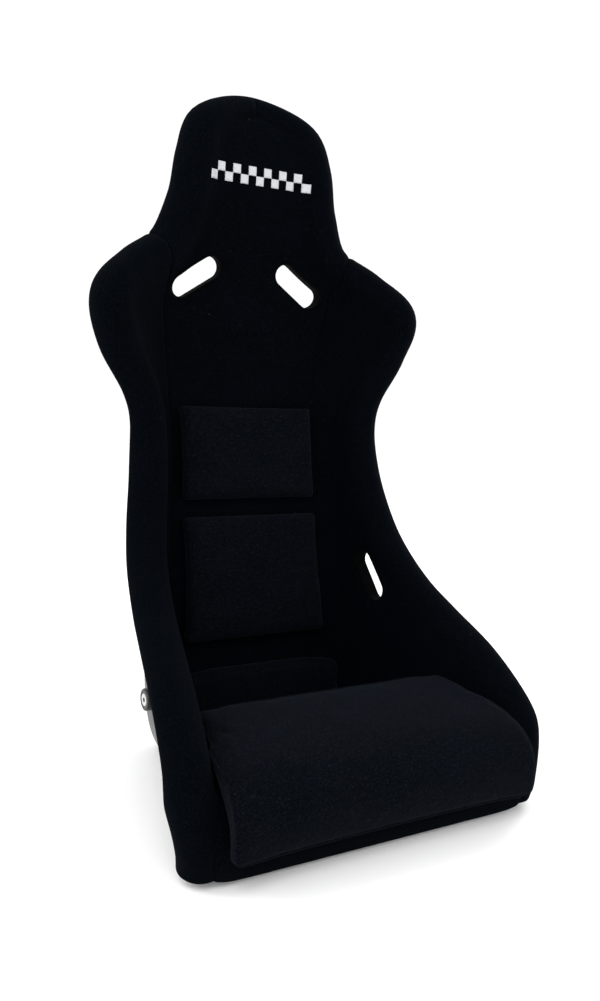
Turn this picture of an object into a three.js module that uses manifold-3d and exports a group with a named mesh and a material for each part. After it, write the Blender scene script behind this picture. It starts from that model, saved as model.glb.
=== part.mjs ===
// A fixed-back racing seat: a one-piece glass-fibre bucket shell with glued foams, sewn velour covers,
// three removable cushions on hook-and-loop strips, harness slots with liners and side-mount inserts.
// Millimetres. The seat faces -Y, +Z is up and +X is the occupant's left. The origin is on the floor,
// under the middle of the seat.
import * as THREE from "three";
import { mergeVertices } from "three/addons/utils/BufferGeometryUtils.js";
import Module from "manifold-3d";

const wasm = await Module();
wasm.setup();

// ---------------------------------------------------------------------------------------------
// Driving dimensions
// ---------------------------------------------------------------------------------------------

// Stations along the body, from the front lip over the pan and up the back to the crown. At each one
// the inner face of the shell runs flat from the centre line out to `flat`, turns at `corner` and
// ends at `rim`, the point [x, y, z] where the wall meets the rolled edge.
const STATIONS = [
  { at: "lip bottom", y: -247, z: 6, flat: 184, corner: 214, rim: [234, -246, 12] },
  { at: "lip face", y: -261, z: 38, flat: 186, corner: 218, rim: [238, -258, 46] },
  { at: "lip top", y: -237, z: 78, flat: 188, corner: 222, rim: [242, -246, 90] },
  { at: "thigh", y: -167, z: 84, flat: 182, corner: 224, rim: [240, -215, 128] },
  { at: "mid pan", y: -81, z: 58, flat: 168, corner: 208, rim: [229, -143, 177] },
  { at: "rear pan", y: -1, z: 18, flat: 154, corner: 198, rim: [215, -63, 213] },
  { at: "base", y: 59, z: 4, flat: 144, corner: 188, rim: [204, -1, 243] },
  { at: "heel", y: 107, z: 16, flat: 136, corner: 185, rim: [193, 57, 286] },
  { at: "low back", y: 123, z: 98, flat: 130, corner: 185, rim: [182, 97, 336] },
  { at: "lumbar", y: 143, z: 200, flat: 124, corner: 181, rim: [170, 134, 408] },
  { at: "waist", y: 174, z: 304, flat: 120, corner: 165, rim: [168, 160, 480] },
  { at: "ribs", y: 202, z: 415, flat: 118, corner: 146, rim: [184, 168, 541] },
  { at: "chest", y: 227, z: 513, flat: 118, corner: 149, rim: [216, 155, 606] },
  { at: "shoulder", y: 240, z: 596, flat: 112, corner: 156, rim: [229, 147, 656] },
  { at: "shoulder top", y: 241, z: 666, flat: 100, corner: 142, rim: [188, 177, 689] },
  { at: "neck", y: 236, z: 729, flat: 76, corner: 108, rim: [129, 209, 728] },
  { at: "head", y: 226, z: 791, flat: 62, corner: 84, rim: [101, 211, 797] },
  { at: "temple", y: 226, z: 852, flat: 54, corner: 74, rim: [90, 215, 863] },
  { at: "forehead", y: 237, z: 902, flat: 40, corner: 56, rim: [69, 229, 911] },
  { at: "crown", y: 255, z: 934, flat: 0, corner: 0, rim: [0, 255, 934] },
];

const FLAT_END = 0.38; // share of the half section that is flat
const WALL_END = 1; // where the wall meets the rolled edge
const ROLL_RADIUS = 14; // outer radius of the shell's rolled edge
const ROLL_END = 2; // from 1 to 2 is half a turn round the rolled edge

// Layers, as distances from the shell's inner face towards the occupant.
const CLEARANCE = 0.3;
const SHELL = [-4, 0];
const FOAM = [CLEARANCE, 12.7];
const COVER = [FOAM[1] + 0.5, 15];
const STRIP = [COVER[1] + CLEARANCE, 17.3];
const PAD = [STRIP[1] + CLEARANCE, 40];
const EMBLEM = [COVER[1] + CLEARANCE, 16.8];

// Cushions, as station numbers and shares of the half section.
const LOWER_PAD = { from: 8.45, to: 10.34, half: 0.38 };
const UPPER_PAD = { from: 10.4, to: 11.9, half: 0.38 };
const CUSHION_HALF_WIDTH = 222;
const CUSHION_REAR_HALF_WIDTH = 168;

// Harness slots: stadium-shaped holes with smooth liners.
const LINER_WALL = 2.5;
const SHOULDER_SLOT = { x: 86.5, y: 239, z: 692, width: 34, length: 90, slant: -34 };
const LAP_SLOT = { x: 182, y: 70, z: 253, width: 36, length: 88, slant: -54 };

// Side-mount inserts for M8 screws, in moulded bosses on the shell's flanks.
const BOSS_RADIUS = 20;
const INSERT_RADIUS = 9;
const INSERT_DEPTH = 13;
const THREAD_RADIUS = 3.4; // tapping bore of an M8 thread
const THREAD_DEPTH = 11;
const SIDE_MOUNTS = [
  { name: "front", y: -160, z: 106, face: 242, root: 216 },
  { name: "rear", y: 40, z: 106, face: 208, root: 178 },
];

// ---------------------------------------------------------------------------------------------
// Materials
// ---------------------------------------------------------------------------------------------

const surface = (color, roughness, metalness = 0) =>
  new THREE.MeshStandardMaterial({ color, roughness, metalness });
const VELOUR = surface(0x15181e, 0.95);
const CUSHION_VELOUR = surface(0x1d222b, 0.95);
const FOAM_GREY = surface(0x4a4a4c, 0.9);
const GELCOAT = surface(0x0c0d0f, 0.35);
const RUBBER = surface(0x101010, 0.7);
const LINER_PLASTIC = surface(0x2a2c2f, 0.4);
const HOOK_TAPE = surface(0x0f0f10, 0.85);
const ZINC_STEEL = surface(0xb4b6b8, 0.35, 1);
const THREAD_GREY = surface(0xd8dadc, 0.6);

// ---------------------------------------------------------------------------------------------
// The seat's inner surface
// ---------------------------------------------------------------------------------------------

const LAST = STATIONS.length - 1;

// A smooth curve through one point of every station, up one side and down the other, so that it
// crosses the crown squarely.
function sideCurve(pointOf) {
  const right = STATIONS.map(pointOf);
  const left = right.slice(0, -1).reverse().map((p) => new THREE.Vector3(-p.x, p.y, p.z));
  return new THREE.CatmullRomCurve3([...right, ...left], false, "catmullrom", 0.5);
}
const flatCurve = sideCurve((s) => new THREE.Vector3(s.flat, s.y, s.z));
const cornerCurve = sideCurve((s) => new THREE.Vector3(s.corner, s.y, s.z));
const rimCurve = sideCurve((s) => new THREE.Vector3(...s.rim));
const along = (curve, u) => curve.getPoint(u / (2 * LAST));

// The point at station number u and share v of the half section; v is negative on the right side.
function innerFace(u, v) {
  const share = Math.min(Math.abs(v), WALL_END);
  const flatEdge = along(flatCurve, u);
  let point;
  if (share <= FLAT_END) {
    point = flatEdge.clone();
    point.x *= share / FLAT_END;
  } else {
    const corner = along(cornerCurve, u);
    const rim = along(rimCurve, u);
    const bend = new THREE.CubicBezierCurve3(
      flatEdge,
      flatEdge.clone().lerp(corner, 0.85),
      corner.clone().lerp(rim, 0.25),
      rim,
    );
    point = bend.getPoint((share - FLAT_END) / (WALL_END - FLAT_END));
  }
  if (v < 0) point.x *= -1;
  return point;
}

const STEP = 0.01; // step of the finite differences
const CROWN_BLEND = 0.3; // the normals turn to the crown's own over the last stretch

// The unit normal towards the occupant, and the direction out across the rim, on the left side.
function sideFrame(u, share) {
  const at = THREE.MathUtils.clamp(u, 2 * STEP, LAST - CROWN_BLEND);
  const across = THREE.MathUtils.clamp(share, STEP, WALL_END - STEP);
  const lengthwise = innerFace(at + STEP, across).sub(innerFace(at - STEP, across));
  const crosswise = innerFace(at, across + STEP).sub(innerFace(at, across - STEP));
  const normal = crosswise.clone().cross(lengthwise).normalize();
  if (share === 0) normal.setX(0).normalize();
  const rimwise = innerFace(at + STEP, WALL_END).sub(innerFace(at - STEP, WALL_END));
  const outward = rimwise.cross(normal).normalize();
  if (outward.dot(innerFace(at, WALL_END).sub(innerFace(at, WALL_END - 3 * STEP))) < 0) {
    outward.negate();
  }
  return { normal, outward };
}

const crownNormal = sideFrame(LAST, 0).normal;
const crownOutward = new THREE.Vector3(1, 0, 0).cross(crownNormal).normalize();
if (crownOutward.z < 0) crownOutward.negate();

function surfaceFrame(u, v) {
  const { normal, outward } = sideFrame(u, Math.min(Math.abs(v), WALL_END));
  const blend = Math.max(0, (u - (LAST - CROWN_BLEND)) / CROWN_BLEND);
  normal.lerp(crownNormal, blend).normalize();
  outward.lerp(crownOutward, blend).normalize();
  if (v < 0) {
    normal.x *= -1;
    outward.x *= -1;
  }
  return { normal, outward };
}

// A point at a distance from the inner face. Past the rim it goes round the rolled edge.
function layerPoint(u, v, distance) {
  const { normal, outward } = surfaceFrame(u, v);
  const base = innerFace(u, v);
  const share = Math.abs(v);
  if (share <= WALL_END) return base.addScaledVector(normal, distance);
  const turn = (share - WALL_END) * Math.PI;
  const radius = ROLL_RADIUS + distance;
  base.addScaledVector(normal, radius * Math.cos(turn) - ROLL_RADIUS);
  return base.addScaledVector(outward, radius * Math.sin(turn));
}

// ---------------------------------------------------------------------------------------------
// Layers of the seat as closed solids on one grid, so that their facets lie parallel
// ---------------------------------------------------------------------------------------------

const U_STEP = 0.5;
const U_LINES = Array.from({ length: LAST / U_STEP + 1 }, (_, i) => i * U_STEP);
// The rubber edging lies past the turned-under edge of the covers.
const EDGING_SPAN = [ROLL_END + 0.05, ROLL_END + 0.17];
const HALF_LINES = [FLAT_END, 0.5, 0.65, 0.82, WALL_END, 1.25, 1.5, 1.75, ROLL_END, ...EDGING_SPAN];
const V_LINES = [...HALF_LINES.map((v) => -v).reverse(), ...HALF_LINES];

const gridPoints = new Map();
function gridPoint(i, j, distance) {
  const key = `${i},${j},${distance}`;
  if (!gridPoints.has(key)) gridPoints.set(key, layerPoint(U_LINES[i], V_LINES[j], distance));
  return gridPoints.get(key);
}

function cellOf(lines, value) {
  const next = lines.findIndex((line) => line > value);
  const cell = next < 0 ? lines.length - 2 : Math.max(0, next - 1);
  return { cell, share: (value - lines[cell]) / (lines[cell + 1] - lines[cell]) };
}

// The point at (u, v) on the faceted grid.
function facetPoint(u, v, distance) {
  const a = cellOf(U_LINES, u);
  const b = cellOf(V_LINES, v);
  const low = gridPoint(a.cell, b.cell, distance).clone();
  low.lerp(gridPoint(a.cell, b.cell + 1, distance), b.share);
  const high = gridPoint(a.cell + 1, b.cell, distance).clone();
  high.lerp(gridPoint(a.cell + 1, b.cell + 1, distance), b.share);
  return low.lerp(high, a.share);
}

// Merges the corners of a list of triangles and drops the ones that have no area.
function geometryOf(triangles) {
  const flat = new Float32Array(triangles.flatMap((t) => t.flatMap((p) => [p.x, p.y, p.z])));
  const loose = new THREE.BufferGeometry();
  loose.setAttribute("position", new THREE.BufferAttribute(flat, 3));
  const merged = mergeVertices(loose, 1e-3);
  const kept = [];
  const index = merged.index.array;
  for (let i = 0; i < index.length; i += 3) {
    const [a, b, c] = [index[i], index[i + 1], index[i + 2]];
    if (a !== b && b !== c && a !== c) kept.push(a, b, c);
  }
  merged.setIndex(kept);
  return merged;
}

const EDGE_INSET_U = 0.004; // half the gap between neighbouring covers, in stations
const EDGE_INSET_V = 0.002; // and in shares of the half section

// A closed solid between two distances from the inner face, over the cells of a grid that
// `covers(u, v)` picks by their middles. It is drawn in by a hair along its own edges.
function layerSolid(uLines, vLines, covers, [low, high]) {
  const rows = uLines.length - 1;
  const columns = vLines.length - 1;
  const inside = (i, j) =>
    i >= 0 && j >= 0 && i < rows && j < columns &&
    covers((uLines[i] + uLines[i + 1]) / 2, (vLines[j] + vLines[j + 1]) / 2);
  const corner = (i, j, distance) => {
    const before = inside(i - 1, j - 1) || inside(i - 1, j);
    const after = inside(i, j - 1) || inside(i, j);
    const left = inside(i - 1, j - 1) || inside(i, j - 1);
    const right = inside(i - 1, j) || inside(i, j);
    const atCrown = uLines[i] === LAST;
    const u = uLines[i] + (atCrown ? 0 : EDGE_INSET_U * (Number(!before) - Number(!after)));
    const v = vLines[j] + EDGE_INSET_V * (Number(!left) - Number(!right));
    return facetPoint(Math.max(u, 0), v, distance);
  };
  const triangles = [];
  // A quad a, b, c, d split from a to c, or from b to d where the flag says so.
  const quad = (a, b, c, d, other = false) => {
    if (other) triangles.push([a, b, d], [b, c, d]);
    else triangles.push([a, b, c], [a, c, d]);
  };
  // Every layer splits a cell along the same, shorter diagonal.
  const splitsOther = (i, j) => {
    const base = (a, b) => facetPoint(uLines[a], vLines[b], 0);
    const usual = base(i, j).distanceTo(base(i + 1, j + 1));
    const crossed = base(i, j + 1).distanceTo(base(i + 1, j));
    if (Math.abs(usual - crossed) < 0.01) return vLines[j] + vLines[j + 1] < 0;
    return crossed < usual;
  };
  for (let i = 0; i < rows; i += 1) {
    for (let j = 0; j < columns; j += 1) {
      if (!inside(i, j)) continue;
      const bottom = [[i, j], [i, j + 1], [i + 1, j + 1], [i + 1, j]].map((k) => corner(...k, low));
      const top = [[i, j], [i, j + 1], [i + 1, j + 1], [i + 1, j]].map((k) => corner(...k, high));
      const onRight = vLines[j] + vLines[j + 1] < 0;
      const other = splitsOther(i, j);
      quad(top[0], top[1], top[2], top[3], other);
      quad(bottom[0], bottom[3], bottom[2], bottom[1], other);
      if (!inside(i - 1, j)) quad(bottom[0], bottom[1], top[1], top[0], onRight);
      if (!inside(i, j + 1)) quad(bottom[1], bottom[2], top[2], top[1]);
      if (!inside(i + 1, j) && uLines[i + 1] !== LAST) {
        quad(bottom[2], bottom[3], top[3], top[2], !onRight);
      }
      if (!inside(i, j - 1)) quad(bottom[3], bottom[0], top[0], top[3], true);
    }
  }
  return geometryOf(triangles);
}

const onGrid = (covers, layer) => layerSolid(U_LINES, V_LINES, covers, layer);

// A rectangular patch whose edges need not lie on the grid's lines.
function patch(uFrom, uTo, vFrom, vTo, layer) {
  const between = (lines, from, to) => [from, ...lines.filter((l) => l > from && l < to), to];
  const uLines = between(U_LINES, uFrom, uTo);
  const vLines = between(V_LINES, vFrom, vTo);
  return layerSolid(uLines, vLines, () => true, layer);
}

// ---------------------------------------------------------------------------------------------
// Joins and cuts
// ---------------------------------------------------------------------------------------------

function toSolid(geometry) {
  const bare = geometry.clone();
  bare.deleteAttribute("normal");
  bare.deleteAttribute("uv");
  const merged = mergeVertices(bare, 1e-3);
  return new wasm.Manifold(
    new wasm.Mesh({
      numProp: 3,
      vertProperties: Float32Array.from(merged.attributes.position.array),
      triVerts: Uint32Array.from(merged.index.array),
    }),
  );
}

function toGeometry(solid) {
  const { vertProperties, triVerts } = solid.getMesh();
  const geometry = new THREE.BufferGeometry();
  geometry.setAttribute("position", new THREE.BufferAttribute(vertProperties, 3));
  geometry.setIndex(new THREE.BufferAttribute(triVerts, 1));
  return geometry;
}

function cut(geometry, tools) {
  return toGeometry(tools.reduce((solid, tool) => solid.subtract(toSolid(tool)), toSolid(geometry)));
}

function join(geometry, additions) {
  return toGeometry(additions.reduce((solid, piece) => solid.add(toSolid(piece)), toSolid(geometry)));
}

function keepInside(geometry, block) {
  return toGeometry(toSolid(geometry).intersect(toSolid(block)));
}

// ---------------------------------------------------------------------------------------------
// Harness slots
// ---------------------------------------------------------------------------------------------

const ARC_STEPS = 6;

function stadium(length, width, asHole = false) {
  const radius = width / 2;
  const reach = length / 2 - radius;
  const outline = asHole ? new THREE.Path() : new THREE.Shape();
  outline.moveTo(-reach, -radius);
  outline.lineTo(reach, -radius);
  outline.absarc(reach, 0, radius, -Math.PI / 2, Math.PI / 2);
  outline.lineTo(-reach, radius);
  outline.absarc(-reach, 0, radius, Math.PI / 2, 1.5 * Math.PI);
  return outline;
}

// A prism of a stadium outline grown by `grow`, from depth `from` to depth `to` along its own +Z.
function slotPrism(slot, grow, from, to, hollow = false) {
  const outline = stadium(slot.length + 2 * grow, slot.width + 2 * grow);
  if (hollow) outline.holes.push(stadium(slot.length, slot.width, true));
  const options = { depth: to - from, bevelEnabled: false, curveSegments: ARC_STEPS };
  return new THREE.ExtrudeGeometry(outline, options).translate(0, 0, from);
}

// Places a prism so that its +Z points at the occupant through the slot's place on the surface.
function placeSlot(geometry, slot, facing, side) {
  const turned = geometry.rotateZ(THREE.MathUtils.degToRad(slot.slant));
  if (facing === "front") turned.rotateX(Math.PI / 2);
  else turned.rotateX(Math.PI / 2).rotateZ(-Math.PI / 2);
  turned.translate(slot.x, slot.y, slot.z);
  return side === "left" ? turned : mirrored(turned);
}

function mirrored(geometry) {
  const copy = geometry.clone();
  copy.scale(-1, 1, 1);
  const loose = copy.index ? copy.toNonIndexed() : copy;
  const p = loose.attributes.position;
  for (let i = 0; i < p.count; i += 3) {
    const [x, y, z] = [p.getX(i), p.getY(i), p.getZ(i)];
    p.setXYZ(i, p.getX(i + 1), p.getY(i + 1), p.getZ(i + 1));
    p.setXYZ(i + 1, x, y, z);
  }
  return loose;
}

const SLOTS = [
  { name: "shoulder", slot: SHOULDER_SLOT, facing: "front", depth: [-13, 22] },
  { name: "lap", slot: LAP_SLOT, facing: "side", depth: [-16, 14] },
];
const SIDES = ["left", "right"];
const THROUGH = [-60, 60];

const slotCuts = (name, side) =>
  SLOTS.filter((s) => s.name === name).map((s) =>
    placeSlot(slotPrism(s.slot, LINER_WALL + CLEARANCE, ...THROUGH), s.slot, s.facing, side),
  );
const allSlotCuts = SIDES.flatMap((side) => [...slotCuts("shoulder", side), ...slotCuts("lap", side)]);

// ---------------------------------------------------------------------------------------------
// Side mounts
// ---------------------------------------------------------------------------------------------

// A cylinder along X from `from` to `to`, beside the seat's left flank.
function flankCylinder(mount, radius, from, to, sides = 24) {
  const cylinder = new THREE.CylinderGeometry(radius, radius, to - from, sides);
  return cylinder.rotateZ(Math.PI / 2).translate((from + to) / 2, mount.y, mount.z);
}

const onSide = (geometry, side) => (side === "left" ? geometry : mirrored(geometry));

// ---------------------------------------------------------------------------------------------
// Which cells of the grid belong to which piece
// ---------------------------------------------------------------------------------------------

const SEAM = 0.5; // the long seams between the centre panels and the bolsters
const LIP_SEAM = 2.5; // the seam behind the lip
const PAN_SEAM = 7.5; // between the pan and the back
const PAD_SEAM = 11.5; // between the back and the head panel, behind the upper pad
// The head panel widens in steps, round the shoulder slots and out over the rim at the neck.
const HEAD_STEPS = [
  { from: PAD_SEAM, share: SEAM },
  { from: 13, share: 0.65 },
  { from: 14, share: 0.82 },
  { from: 14.5, share: ROLL_END },
];

const isHead = (u, v) => HEAD_STEPS.some((step) => u > step.from && Math.abs(v) < step.share);
const isBack = (u, v) => u > PAN_SEAM && u < PAD_SEAM && Math.abs(v) < SEAM;
const isPan = (u, v) => u > LIP_SEAM && u < PAN_SEAM && Math.abs(v) < SEAM;
const isLip = (u, v) => u < LIP_SEAM && Math.abs(v) < 0.9;
const isLeftBolster = (u, v) => v > SEAM && v < ROLL_END && !isHead(u, v) && !isLip(u, v);
const isRightBolster = (u, v) => isLeftBolster(u, -v);
const insideRoll = (v) => Math.abs(v) < ROLL_END;

// ---------------------------------------------------------------------------------------------
// The pieces
// ---------------------------------------------------------------------------------------------

const seat = new THREE.Group();

function addPiece(name, geometry, material) {
  const mesh = new THREE.Mesh(geometry, material);
  mesh.name = name;
  seat.add(mesh);
}

// The shell: a 4 mm laminate with a rolled edge, slots, and bosses for the inserts on each flank.
const laminate = onGrid((u, v) => insideRoll(v), SHELL);
const insideOfWall = patch(2, 9, -WALL_END, WALL_END, [-2, 24]);
const bosses = SIDE_MOUNTS.flatMap((mount) => {
  const boss = cut(flankCylinder(mount, BOSS_RADIUS, mount.root, mount.face), [insideOfWall]);
  return SIDES.map((side) => onSide(boss, side));
});
const insertPockets = SIDE_MOUNTS.flatMap((mount) => {
  const pocket = flankCylinder(
    mount,
    INSERT_RADIUS + CLEARANCE,
    mount.face - INSERT_DEPTH - CLEARANCE,
    mount.face + 1,
  );
  return SIDES.map((side) => onSide(pocket, side));
});
addPiece("shell", cut(join(laminate, bosses), [...allSlotCuts, ...insertPockets]), GELCOAT);

// The rubber edging that closes the back of the covers along the whole rolled edge.
const EDGING = [-5.5, 2];
const isEdging = (u, v) => Math.abs(v) > EDGING_SPAN[0] && Math.abs(v) < EDGING_SPAN[1];
addPiece("edge_trim", onGrid(isEdging, EDGING), RUBBER);

// Foams glued to the shell, and the covers sewn over them.
const PANELS = [
  { name: "head", covers: isHead, cuts: SIDES.flatMap((side) => slotCuts("shoulder", side)) },
  { name: "back", covers: isBack, cuts: [] },
  { name: "pan", covers: isPan, cuts: [] },
  { name: "lip", covers: isLip, cuts: [] },
  { name: "bolster_left", covers: isLeftBolster, cuts: slotCuts("lap", "left") },
  { name: "bolster_right", covers: isRightBolster, cuts: slotCuts("lap", "right") },
];
for (const { name, covers, cuts } of PANELS) {
  const wrapped = (u, v) => insideRoll(v) && covers(u, v);
  addPiece(`${name}_foam`, cut(onGrid(wrapped, FOAM), cuts), FOAM_GREY);
  addPiece(`${name}_cover`, cut(onGrid(wrapped, COVER), cuts), VELOUR);
}

// The two pads of the backrest, each on two upright hook strips.
const STRIP_SPAN = [0.12, 0.28];
const backPads = { back_pad_lower: LOWER_PAD, back_pad_upper: UPPER_PAD };
for (const [name, pad] of Object.entries(backPads)) {
  addPiece(name, patch(pad.from, pad.to, -pad.half, pad.half, PAD), CUSHION_VELOUR);
  const inset = 0.15;
  const [near, far] = STRIP_SPAN;
  const strip = (from, to) => patch(pad.from + inset, pad.to - inset, from, to, STRIP);
  addPiece(`${name}_hook_strip_left`, strip(near, far), HOOK_TAPE);
  addPiece(`${name}_hook_strip_right`, strip(-far, -near), HOOK_TAPE);
}

// The seat cushion: a thick thigh support in front, and a thin sitting part that curves up the back.
const cushionSide = new THREE.Shape();
cushionSide.moveTo(-295, 76); // front of the nose
cushionSide.quadraticCurveTo(-295, 132, -251, 136);
cushionSide.lineTo(-107, 150); // rear edge of the thigh support
cushionSide.lineTo(-97, 118);
cushionSide.quadraticCurveTo(-69, 96, -45, 80);
cushionSide.lineTo(9, 52);
cushionSide.quadraticCurveTo(63, 36, 77, 66);
cushionSide.lineTo(84, 106); // rear end, up the back
for (const { y, z } of STATIONS.slice(2, 9).reverse()) cushionSide.lineTo(y, z); // along the shell
cushionSide.lineTo(-259, 44);
cushionSide.lineTo(-291, 44);
const CUSHION_BEVEL = 10;
const cushionBlock = new THREE.ExtrudeGeometry(cushionSide, {
  depth: 2 * (CUSHION_HALF_WIDTH - CUSHION_BEVEL),
  bevelSize: CUSHION_BEVEL,
  bevelThickness: CUSHION_BEVEL,
  bevelOffset: -CUSHION_BEVEL,
  bevelSegments: 2,
  curveSegments: 5,
});
cushionBlock.translate(0, 0, -(CUSHION_HALF_WIDTH - CUSHION_BEVEL));
cushionBlock.applyMatrix4(
  new THREE.Matrix4().makeBasis(
    new THREE.Vector3(0, 1, 0),
    new THREE.Vector3(0, 0, 1),
    new THREE.Vector3(1, 0, 0),
  ),
);
// Narrow it towards the rear, as the walls close in.
const blockPoints = cushionBlock.attributes.position;
for (let i = 0; i < blockPoints.count; i += 1) {
  const back = THREE.MathUtils.clamp((blockPoints.getY(i) + 175) / 270, 0, 1);
  const narrow = THREE.MathUtils.lerp(CUSHION_HALF_WIDTH, CUSHION_REAR_HALF_WIDTH, back);
  blockPoints.setX(i, (blockPoints.getX(i) * narrow) / CUSHION_HALF_WIDTH);
}
const belowCushion = onGrid((u, v) => u < 9 && Math.abs(v) < WALL_END, [-18, PAD[0]]);
addPiece("seat_cushion", cut(cushionBlock, [belowCushion]), CUSHION_VELOUR);
const [stripNear, stripFar] = [0.14, 0.3];
for (const [side, from, to] of [["left", stripNear, stripFar], ["right", -stripFar, -stripNear]]) {
  addPiece(`seat_cushion_hook_strip_${side}`, patch(3.1, 5.4, from, to, STRIP), HOOK_TAPE);
}

// Slot liners, one smooth plastic sleeve in each slot.
for (const { name, slot, facing, depth } of SLOTS) {
  for (const side of SIDES) {
    const sleeve = placeSlot(slotPrism(slot, LINER_WALL, ...depth, true), slot, facing, side);
    addPiece(`${name}_slot_liner_${side}`, sleeve, LINER_PLASTIC);
  }
}

// Threaded steel inserts, flush with their bosses.
for (const mount of SIDE_MOUNTS) {
  const bottom = mount.face - INSERT_DEPTH;
  const body = flankCylinder(mount, INSERT_RADIUS, bottom, mount.face);
  const thread = flankCylinder(mount, THREAD_RADIUS, mount.face - THREAD_DEPTH, mount.face + 1, 16);
  const insert = cut(body, [thread]);
  for (const side of SIDES) {
    addPiece(`${mount.name}_mount_insert_${side}`, onSide(insert, side), ZINC_STEEL);
  }
}

// The embroidered motif on the head panel: a chequered band, two squares high. The squares overlap a
// little at their corners, so that the band is one solid.
const MOTIF = { z: 833, square: 13, columns: 13, overlap: 0.4 };
const motifSquares = [];
for (let column = 0; column < MOTIF.columns; column += 1) {
  const side = MOTIF.square + MOTIF.overlap;
  const square = new THREE.BoxGeometry(side, 120, side);
  const row = column % 2;
  const x = (column - (MOTIF.columns - 1) / 2) * MOTIF.square;
  motifSquares.push(square.translate(x, 190, MOTIF.z + (row + 0.5) * MOTIF.square));
}
const motifBlock = join(motifSquares[0], motifSquares.slice(1));
const emblemLayer = patch(15.5, 17.5, -0.95, 0.95, EMBLEM);
addPiece("head_emblem", keepInside(emblemLayer, motifBlock), THREAD_GREY);

export default seat;
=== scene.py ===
import math

import bmesh
import bpy
import numpy as np
from mathutils import Matrix, Vector
from mathutils.bvhtree import BVHTree


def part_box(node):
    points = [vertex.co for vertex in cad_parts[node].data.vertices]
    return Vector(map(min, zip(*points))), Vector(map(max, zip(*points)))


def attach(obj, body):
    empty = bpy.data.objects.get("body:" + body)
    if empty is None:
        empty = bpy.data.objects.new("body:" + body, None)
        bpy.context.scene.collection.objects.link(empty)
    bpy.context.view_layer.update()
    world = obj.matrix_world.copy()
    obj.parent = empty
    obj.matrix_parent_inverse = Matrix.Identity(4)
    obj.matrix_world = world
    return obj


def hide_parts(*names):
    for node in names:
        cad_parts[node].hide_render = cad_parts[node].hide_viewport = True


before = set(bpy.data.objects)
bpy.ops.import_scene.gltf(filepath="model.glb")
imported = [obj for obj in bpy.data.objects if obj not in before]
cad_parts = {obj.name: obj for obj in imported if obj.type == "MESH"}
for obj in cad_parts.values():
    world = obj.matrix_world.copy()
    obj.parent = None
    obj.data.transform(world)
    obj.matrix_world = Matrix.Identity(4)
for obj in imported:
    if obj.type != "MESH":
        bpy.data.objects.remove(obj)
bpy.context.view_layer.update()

MM = 0.001

# ---- The seat's inner surface: the CAD part's, with a slightly fuller front lip ----

# y, z, half width of the flat, half width of the corner, rim x, rim y, rim z
STATIONS = MM * np.array([
    (-255, 6, 184, 216, 240, -255, 11),  # lip bottom
    (-261, 38, 186, 220, 244, -258, 45),  # lip face
    (-237, 78, 188, 222, 245, -246, 90),  # lip top
    (-167, 84, 182, 224, 240, -215, 128),  # thigh
    (-81, 58, 168, 208, 229, -143, 177),  # mid pan
    (-1, 18, 154, 198, 215, -63, 213),  # rear pan
    (59, 4, 144, 188, 204, -1, 243),  # base
    (107, 16, 136, 185, 193, 57, 286),  # heel
    (123, 98, 130, 185, 182, 97, 336),  # low back
    (143, 200, 124, 181, 170, 134, 408),  # lumbar
    (174, 304, 120, 165, 168, 160, 480),  # waist
    (202, 415, 118, 146, 184, 168, 541),  # ribs
    (227, 513, 118, 149, 216, 155, 606),  # chest
    (240, 596, 112, 156, 229, 147, 656),  # shoulder
    (241, 666, 100, 142, 188, 177, 689),  # shoulder top
    (236, 729, 76, 108, 129, 209, 728),  # neck
    (226, 791, 62, 84, 101, 211, 797),  # head
    (226, 852, 54, 74, 90, 215, 863),  # temple
    (237, 902, 40, 56, 69, 229, 911),  # forehead
    (255, 934, 0, 0, 0, 255, 934),  # crown
])
LAST = len(STATIONS) - 1
FLAT_END = 0.38  # share of the half section that is flat
CORNER_PULL = 0.85  # the section's curve leaves the flat this far towards the corner
RIM_PULL = 0.25  # and comes to the rim from this far past the corner
ROLL_RADIUS = 14 * MM  # of the shell's rolled edge
SHELL_ROLL_END = 2  # from 1 to 2 is half a turn round the rolled edge
SHELL_INSIDE = -4 * MM


def catmull(points):
    """A smooth curve through all points but the first and the last, which only steer its ends."""

    def at(t):
        i = np.clip(np.floor(t).astype(int), 0, len(points) - 4)
        s = (t - i)[..., None]
        a, b, c, d = points[i], points[i + 1], points[i + 2], points[i + 3]
        return b + s / 2 * (c - a + s * (2 * a - 5 * b + 4 * c - d + s * (3 * b - a - 3 * c + d)))

    return at


def smooth_path(points, count):
    """Evenly numbered points of a smooth curve through a list of points."""
    ends = np.vstack([2 * points[:1] - points[1:2], points, 2 * points[-1:] - points[-2:-1]])
    return catmull(ends)(np.linspace(0, len(points) - 1, count))


def side_curve(points):
    """The curve up one side and down the other, so that it crosses the crown squarely."""
    other = points[-2::-1] * (-1, 1, 1)
    return catmull(np.vstack([2 * points[:1] - points[1:2], points, other]))


FLAT_EDGE = side_curve(STATIONS[:, [2, 0, 1]])
CORNER = side_curve(STATIONS[:, [3, 0, 1]])
RIM = side_curve(STATIONS[:, 4:])


def inner_face(u, v):
    """Points of the inner surface; past the rim, the rim itself."""
    share = np.minimum(np.abs(v), 1)[..., None]
    flat, corner, rim = FLAT_EDGE(u), CORNER(u), RIM(u)
    t = np.clip((share - FLAT_END) / (1 - FLAT_END), 0, 1)
    low = flat + CORNER_PULL * (corner - flat)
    high = corner + RIM_PULL * (rim - corner)
    bend = (1 - t) ** 3 * flat + 3 * (1 - t) ** 2 * t * low + 3 * (1 - t) * t * t * high + t**3 * rim
    across = np.concatenate([share / FLAT_END, np.ones_like(share), np.ones_like(share)], axis=-1)
    point = np.where(share <= FLAT_END, flat * across, bend)
    point[..., 0] *= np.where(v < 0, -1, 1)
    return point


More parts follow.
